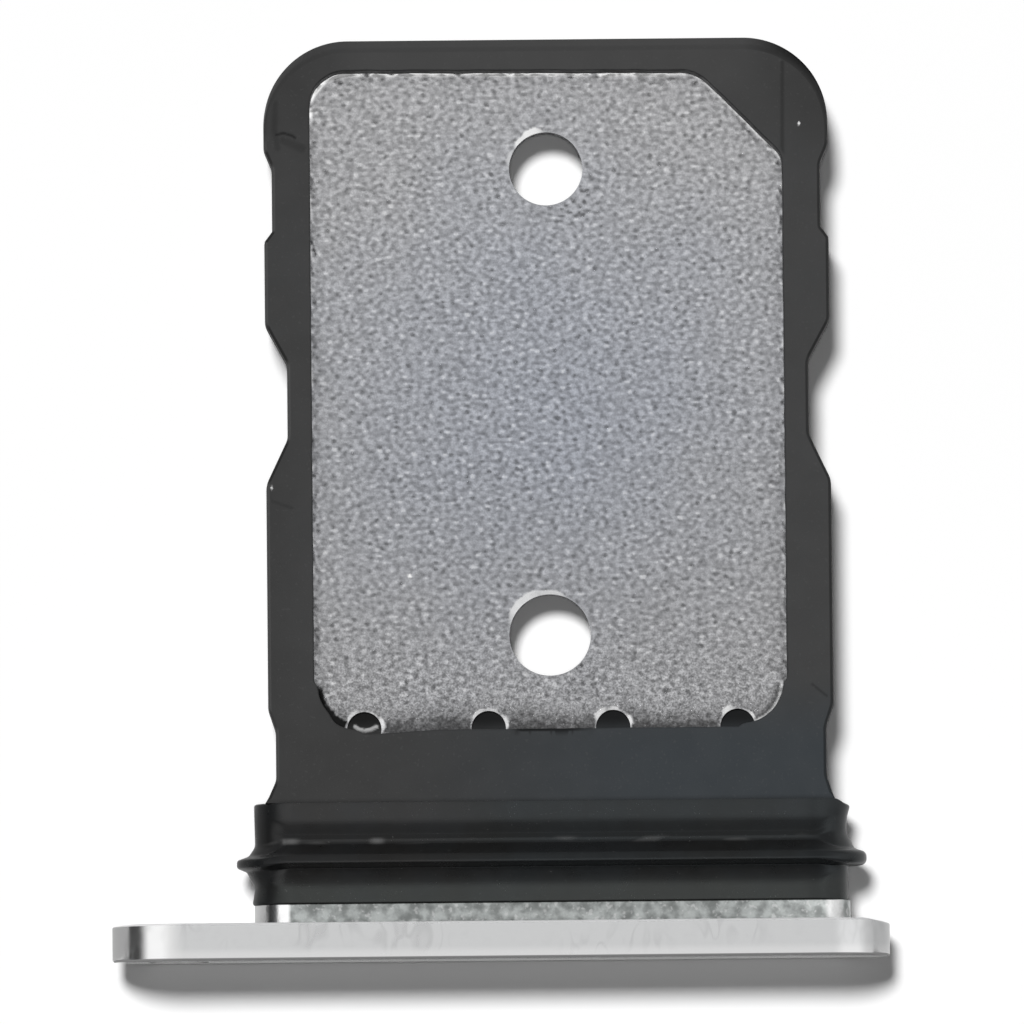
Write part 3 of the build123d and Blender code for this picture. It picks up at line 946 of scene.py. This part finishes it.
def make_plate():
    """Sheet-metal floor with a grained upper face, an upturned edge, push holes and lock holes."""
    sheet = Shape()
    pocket = pocket_outline(0.04)
    coarse_pocket = pocket_outline(0.15)
    edge = plate_outline()
    top_edge = sheet.level(edge, PLATE_TOP)
    bottom_edge = sheet.level(edge, PLATE_BOTTOM)
    sheet.band(bottom_edge, top_edge)
    tops = [top_edge]
    bottoms = [bottom_edge]
    bright = []
    locks = [(x, y, LOCK_RADIUS, lobes) for (x, y), lobes in zip(lock_places(), LOCK_HOLE_LOBES)]
    holes = push_holes() + locks
    for x, y, radius, lobes in holes:
        count = HOLE_POINTS if radius > LOCK_RADIUS else HOLE_POINTS // 2
        width, shine = rim_of(np.arange(count) / count * 2 * np.pi, lobes)
        rings = []
        for share in (1.0, 0.75, 0.5, 0.25, 0.0):
            loop = circle(x, y, radius + width * share, count)
            height = PLATE_TOP - RIM_SLOPE * width * (1 - share)
            rings.append(sheet.add(np.column_stack((loop, height))))
            bright.append((rings[-1], shine))
        rings.append(sheet.level(circle(x, y, radius, count), PLATE_BOTTOM))
        sheet.stack(rings)
        tops.append(rings[0])
        bottoms.append(rings[-1])
    normal = outward(pocket)
    rows = [pocket - normal * LIP_WIDTH * share for share in (0.0, 0.25, 0.5, 0.75, 1.0)]
    field = grid(pocket, GRAIN_SPACING)
    field = field[depth_in(field, coarse_pocket) > LIP_WIDTH + GRAIN_SPACING / 2]
    field = np.vstack((*rows, field))
    for x, y, radius, lobes in holes:
        across, along = field[:, 0] - x, field[:, 1] - y
        width, _ = rim_of(np.arctan2(along, across), lobes)
        field = field[np.hypot(across, along) > radius + width + GRAIN_SPACING / 2]
    depth = depth_in(field, coarse_pocket)
    grain = grit(field / GRAIN_STRETCH, GRAIN_SIZE, 3)
    lip = lip_share(field) * np.clip(1 - depth / LIP_WIDTH, 0, 1)
    height = PLATE_TOP + grain * GRAIN_HEIGHT + lumps(field, 0.45, 5) * 0.004
    height += LIP_HEIGHT * lip ** 2
    inner = sheet.add(np.column_stack((field, height)))
    sheet.sheet(tops, inner)
    sheet.sheet(bottoms)
    empty = np.zeros(len(sheet.points))
    # Darker colour: the buried edge, dark marks, and painted shade in the rear left gap
    dark_marks_and_shade, tone, highlight_and_speck = empty.copy(), empty.copy(), empty.copy()
    dark_marks_and_shade[inner] = plate_dark_and_shade(field, depth, grain)
    dark_marks_and_shade[top_edge] = 1.0
    tone[inner] = grain
    # Lighter colour: painted highlights on the turned-up edge, the rear right corner line, the grain's
    # highest bumps and the hole edges, and one pale speck
    speck_x, speck_y, speck_size = PLATE_SPECK
    specks_and_highlight = ease(reach_from(field, speck_x, speck_y), speck_size, speck_size / 2)
    glints = 0.30 * ease(grain, 1.8, 2.6)
    highlight_and_speck[inner] = np.maximum.reduce([ease(lip, 0.15, 0.5), specks_and_highlight, 0.62 * corner_line(field, depth), glints])
    for ring, shine in bright:
        highlight_and_speck[ring] = shine
    sheet.marks = {"dark_marks_and_shade": dark_marks_and_shade, "grain": tone, "highlight_and_speck": highlight_and_speck}
    place("card_floor", sheet.mesh("card_floor"), [grained_metal()], "carrier_plate")


def rim_of(angle, lobes):
    """Width of a hole's ragged sloping edge in some directions, and how much of it is painted lighter as a
    highlight.
    """
    ragged = 1 + 0.07 * lumps(np.column_stack((np.degrees(angle) % 360, np.zeros(len(angle)))), 7.0, 14)
    width = np.full(len(angle), RIM_WIDTH)
    shine = np.zeros(len(angle))
    for middle, reach, most, highlight_and_speck in lobes:
        away = np.abs((np.degrees(angle) - middle + 180) % 360 - 180)
        share = ease(away, reach, reach * 0.25)
        width = np.maximum(width, most * share * ragged)
        shine = np.maximum(shine, highlight_and_speck * share)
    return width, shine


def lip_share(field):
    """How far the plate's edge is turned up: most at the nose, less at the key and the sides."""
    x = field[:, 0] - TRAY_X
    from_nose = POCKET_NOSE - field[:, 1]
    nose = ease(from_nose, 1.5, 0.6)
    on_key = ease(x - POCKET_HALF + KEY_LEG - from_nose, -0.25, -0.05)
    key = on_key * ease(from_nose, KEY_LEG + 0.25, KEY_LEG)
    side = 0.30 * ease(field[:, 1] - POCKET_ROOT, 0.8, 1.4)
    breaks = 0.62 + 0.5 * lumps(field, 0.16, 8)
    return np.maximum.reduce([nose * breaks * (1 - on_key), key * 0.37, side * breaks])


def rear_corner(points, side):
    """The plate's rear corner at the left (-1) or right (1), from 0 to 1."""
    return ease(reach_from(points, TRAY_X + side * POCKET_HALF, POCKET_ROOT), 0.95, 0.80)


def plastic_shift(points):
    """How far the plastic stands back at the rear left, or, below nothing, covers a rear corner."""
    x = points[:, 0] - TRAY_X + POCKET_HALF
    edge = ease(points[:, 1] - POCKET_ROOT, 0.3, 0.1) * ease(x, 2.6, 1.0)
    corner = np.maximum(rear_corner(points, -1), rear_corner(points, 1))
    return REAR_GAP * edge - CORNER_COVER * corner


def plate_dark_and_shade(field, depth, grain):
    """Darkening of the plate: a band along its rear edge, painted shade in the gap at its rear left corner, a
    dark smear in its rear right corner, specks by the push holes, and its deepest grain pits.
    """
    from_rear = field[:, 1] - POCKET_ROOT + 0.07 * lumps(field, 0.5, 11) - 0.13 * grain
    rear_band = 0.83 * ease(from_rear, 0.50, 0.02)
    # painted shade: the plate is dark in the gap at its rear left corner
    gap = ease(depth - 0.006 * grain, 0.185, 0.15) * rear_corner(field, -1)
    smear = 0.72 * ease(depth - 0.03 * grain, 0.27, 0.16) * ease(depth, 0.115, 0.14) * rear_corner(field, 1)
    dots = np.zeros(len(field))
    for x, y, radius, _ in push_holes():
        away = reach_from(field, x + 0.75 * radius, y - 0.85 * radius)
        dots = np.maximum(dots, 0.55 * ease(away, 0.75, 0.2) * ease(-grain, 0.4, 1.6))
    rear_band = rear_band * (1 - corner_line(field, depth))
    pits = 0.35 * ease(-grain, 1.9, 2.7)
    return np.maximum.reduce([rear_band, gap, smear, dots, pits])


def corner_line(field, depth):
    """A painted highlight: the plate's bright edge in its rear right corner."""
    return rear_corner(field, 1) * ease(np.abs(depth - 0.10), 0.034, 0.012)


def make_frame():
    """Rails, nose and root round the pocket, the spigot under the seal, and the plugs in the lock holes."""
    body = Shape()
    outline = frame_outline()
    normal = outward(outline)
    nose_share = np.clip((outline[:, 1] - (NOSE_END - NOSE_RADIUS - 0.45)) / 0.45, 0, 1)
    half = (FRAME_TOP - FRAME_BOTTOM) / 2
    at_root = ease(outline[:, 1], FRAME_ROOT + 0.03, FRAME_ROOT)[:, None]
    rings = []
    levels = wall_levels(half)
    for height, inset in levels:
        shift = max(0.0, abs(height) - (half - NOSE_BEVEL))
        loop = outline - normal * (inset + MOULD_DRAFT * abs(height) / half) * (1 - 0.95 * at_root)
        loop[:, 1] -= shift * nose_share
        rings.append(body.level(loop, MID_Z + height))
    body.stack(rings)
    # Painted shade on the frame's upper outer edge: strongest on the nose's right curve, faint on the rest of
    # the nose, and on right-facing and sloped edges; a painted highlight on left-facing edges
    curve = nose_share * ease(outline[:, 0] - TRAY_X, 3.5, 4.8)
    sloped = ease(np.abs(normal[:, 1]), 0.2, 0.45) * (1 - nose_share)
    right_wall = ease(normal[:, 0], 0.7, 0.95)
    edge_shade = np.maximum.reduce([0.96 * curve, 0.1 * nose_share, 0.55 * right_wall, 0.6 * sloped])
    edge_highlight = 0.025 * ease(-normal[:, 0], 0.93, 0.99) * (1 - nose_share)

    pocket = pocket_outline(0.08)
    pocket_normal = outward(pocket)
    pocket += pocket_normal * (plastic_shift(pocket) + 0.006 * lumps(pocket, 0.3, 15))[:, None]
    mouth = [body.level(pocket + pocket_normal * (POCKET_MOUTH + SUPPORT), FRAME_TOP)]
    for bend in np.linspace(0, np.pi / 2, EDGE_STEPS + 1):
        loop = pocket + pocket_normal * POCKET_MOUTH * (1 - math.sin(bend))
        mouth.append(body.level(loop, FRAME_TOP - POCKET_MOUTH * (1 - math.cos(bend))))
    for z in (FRAME_TOP - 0.1, PLATE_TOP):
        mouth.append(body.level(pocket, z))
    for z in (PLATE_TOP, PLATE_BOTTOM):
        mouth.append(body.level(pocket + pocket_normal * PLATE_MARGIN, z))
    body.stack(mouth)

    window = window_outline()
    window_top = body.level(window, PLATE_BOTTOM)
    window_bottom = body.level(window, FRAME_BOTTOM)
    body.band(window_top, window_bottom)
    body.sheet([mouth[-1], window_top])
    body.sheet([rings[0], window_bottom])

    coarse = grid(outline, TOP_SPACING)
    fine = grid(outline, MARK_SPACING)
    field = np.vstack((coarse[~marked(coarse)], fine[marked(fine)]))
    field = field[depth_in(field, body.points[rings[-1], :2]) > MARK_SPACING]
    field = field[depth_in(field, body.points[mouth[0], :2]) < -MARK_SPACING]
    crease_and_shade, specks_and_highlight = frame_marks(field)
    heights = FRAME_TOP + lumps(field, 0.9, 31) * 0.003 - crease_and_shade * 0.02 + specks_and_highlight * 0.02
    inner = body.add(np.column_stack((field, heights)))
    body.sheet([rings[-1], mouth[0]], inner)

    spigot = NECK_RADIUS - SEAL_WALL
    section = [(0, SEAL_START), (spigot, SEAL_START), (spigot, FRAME_ROOT), (0, FRAME_ROOT)]
    body.sweep(section, RING_CORE, TRAY_X)
    plugs = np.concatenate([plug(body, x, y) for x, y in lock_places()])
    for name, values in (("crease_and_shade", crease_and_shade), ("specks_and_highlight", specks_and_highlight)):
        body.marks[name] = np.zeros(len(body.points))
        body.marks[name][inner] = values
    # painted shade and highlight on the outer edge, from the foot of the nose bevel up
    for ring, (height, _) in zip(rings[:-1], levels):
        up_bevel = (height - half) / NOSE_BEVEL + 1
        if up_bevel > -0.01:
            body.marks["crease_and_shade"][ring] = edge_shade * (1 - 0.65 * up_bevel ** 3 * curve)
            body.marks["specks_and_highlight"][ring] = edge_highlight
    # painted shade: a dark line on the top edge where the frame meets the seal
    body.marks["crease_and_shade"][rings[-1]] = 0.35 * at_root[:, 0]
    # painted shadow along part of the pocket's rear edge
    left, right = REAR_SHADOW
    for ring in mouth[:EDGE_STEPS + 2]:
        x, y = body.points[ring, :2].T
        in_shadow = ease(x, left, left + 0.2) * ease(x, right, right - 0.6)
        body.marks["crease_and_shade"][ring] = 0.75 * in_shadow * ease(y - POCKET_ROOT, 0.3, 0.1)
    # painted shade on the plugs in the lock holes, darker towards the nose side
    body.marks["crease_and_shade"][plugs] = ease(body.points[plugs, 1] - POCKET_ROOT, -0.15, 0.25) * 0.6 + 0.2
    # a raised burr on the first plug's edge, with a painted highlight on it
    first_x, first_y = lock_places()[0]
    burr = near_line(body.points[plugs, :2] - (first_x, first_y), PLUG_BURR)
    body.marks["specks_and_highlight"][plugs] = 0.48 * ease(burr, 0.05, 0.02)
    body.points[plugs, 2] += 0.03 * ease(burr, 0.045, 0.0)
    place("moulded_frame", body.mesh("moulded_frame"), [moulded_plastic()], "frame")


def mark_places(points):
    """Places as the marks give them, from the tray's middle line and from the nose."""
    return np.column_stack((points[:, 0] - TRAY_X, NOSE_END - points[:, 1]))


def marked(points):
    """Which points of the frame's top are near a mark."""
    local = mark_places(points)
    nearest = [near_line(local, line) - width for line, width, _ in FRAME_CREASES]
    nearest += [reach_from(local, x, y) - long for x, y, long, _ in FRAME_SPECKS]
    return np.min(nearest, 0) < 2 * MARK_SPACING


def frame_marks(field):
    """Dark creases, a patch of painted shade, and pale specks on the frame's top, from 0 to 1."""
    local = mark_places(field)
    crease_and_shade = np.zeros(len(field))
    for line, width, depth in FRAME_CREASES:
        crease_and_shade = np.maximum(crease_and_shade, depth * ease(near_line(local, line), width, width * 0.2))
    specks_and_highlight = np.zeros(len(field))
    for x, y, long, wide in FRAME_SPECKS:
        away = np.hypot((local[:, 0] - x) / wide, (local[:, 1] - y) / long)
        specks_and_highlight = np.maximum(specks_and_highlight, ease(away, 1.0, 0.5))
    return crease_and_shade, specks_and_highlight


def wall_levels(half):
    """(height from mid, inset) up the frame's outer wall, with round edges and a parting line."""
    bends = np.linspace(0, np.pi / 2, EDGE_STEPS + 1)
    edge = [(half - FRAME_EDGE * (1 - math.sin(b)), FRAME_EDGE * (1 - math.cos(b))) for b in bends]
    wall = [(0.02, 0.0), (half - NOSE_BEVEL, 0.0), (half - FRAME_EDGE - SUPPORT, 0.0)]
    rise = wall + edge + [(half, FRAME_EDGE + SUPPORT)]
    upper = [(height, inset + PARTING_FLASH) for height, inset in rise]
    lower = [(-height, inset) for height, inset in reversed(upper)]
    return lower + [(0.0, 0.0)] + upper


def plug(body, x, y):
    """Plastic in a lock hole, dished a little by shrinkage."""
    top = PLATE_TOP - LOCK_PLUG_SINK
    rings = [body.level(circle(x, y, LOCK_RADIUS, 48), PLATE_BOTTOM)]
    for share in np.linspace(1.0, 0.1, 13):
        rings.append(body.level(circle(x, y, LOCK_RADIUS * share, 48), top - 0.03 * (1 - share)))
    body.stack(rings)
    body.sheet([rings[0]])
    body.sheet([rings[-1]])
    return np.concatenate(rings)


# Stage, light and camera

def make_floor():
    half = FLOOR_HALF * MM
    mesh = bpy.data.meshes.new("floor")
    corners = [(-half, -half, 0), (half, -half, 0), (half, half, 0), (-half, half, 0)]
    mesh.from_pydata(corners, [], [(0, 1, 2, 3)])
    mesh.materials.append(pale_floor())
    added("floor", mesh)


def make_room():
    """White to the camera, dim to matt surfaces; mirrors see a strip light with cards at its ends."""
    world = bpy.data.worlds.new("room")
    bpy.context.scene.world = world
    world.cycles.sampling_method = "NONE"
    paint = Paint(world)
    direction = paint.split(paint.node("TexCoord", {}).outputs["Generated"])
    strip = paint.span(paint.math("ABSOLUTE", direction["Y"]), 0.20, 0.55, 1.0, 0.28)
    left_lamp = paint.span(direction["X"], -0.28, 0.06, 1.32, 1.0)
    left_card = paint.span(direction["X"], -0.92, -0.66, 0.06, 1.0)
    right_lamp = paint.span(direction["X"], 0.0, 0.42, 1.0, 1.28)
    right_card = paint.span(direction["X"], 0.80, 1.0, 1.0, 0.68)
    overhead = strip
    for part in (left_lamp, left_card, right_lamp, right_card):
        overhead = paint.times(overhead, part)
    front = paint.span(direction["Y"], -0.88, -0.70, 0.45, 0.0)
    front = paint.times(front, paint.span(direction["Y"], -0.995, -0.95))
    mirrored = paint.math("MAXIMUM", overhead, front)
    path = paint.node("LightPath", {}).outputs
    seen = paint.math("MAXIMUM", path["Is Glossy Ray"], path["Is Transmission Ray"])
    level = paint.mix(seen, grey(ROOM_LEVEL), mirrored)
    level = paint.mix(path["Is Camera Ray"], level, grey(1.0))
    light = paint.node("Background", {"Color": level})
    paint.node("OutputWorld", {"Surface": light.outputs[0]})


def make_lamp(name, strength, softness, elevation, azimuth):
    """A distant soft lamp, which lights matt surfaces only."""
    lamp = bpy.data.lights.new(name, "SUN")
    lamp.energy = strength
    lamp.angle = softness
    made = added(name, lamp)
    level = math.cos(elevation)
    source = Vector((math.cos(azimuth) * level, math.sin(azimuth) * level, math.sin(elevation)))
    made.rotation_euler = source.to_track_quat("Z", "Y").to_euler()
    made.visible_glossy = False


def make_camera():
    lens = bpy.data.cameras.new("camera")
    lens.lens = lens.sensor_width * CAMERA_DISTANCE / (IMAGE_PIXELS / PIXELS_PER_MM)
    camera = added("camera", lens)
    turn = Matrix.Rotation(CAMERA_TILT, 4, "X") @ Matrix.Rotation(-CAMERA_ROLL, 4, "Z")
    back = turn @ Vector((0, 0, CAMERA_DISTANCE))
    camera.matrix_world = Matrix.Translation((Vector(CAMERA_AIM) + back) * MM) @ turn
    bpy.context.scene.camera = camera


bpy.context.scene.view_settings.view_transform = "Standard"
make_cap()
make_seal()
make_plate()
make_frame()
make_floor()
make_room()
make_lamp("key", KEY_STRENGTH, KEY_SOFTNESS, KEY_ELEVATION, KEY_AZIMUTH)
make_lamp("top", TOP_STRENGTH, TOP_SOFTNESS, math.pi / 2 - CAMERA_TILT, -math.pi / 2)
make_camera()
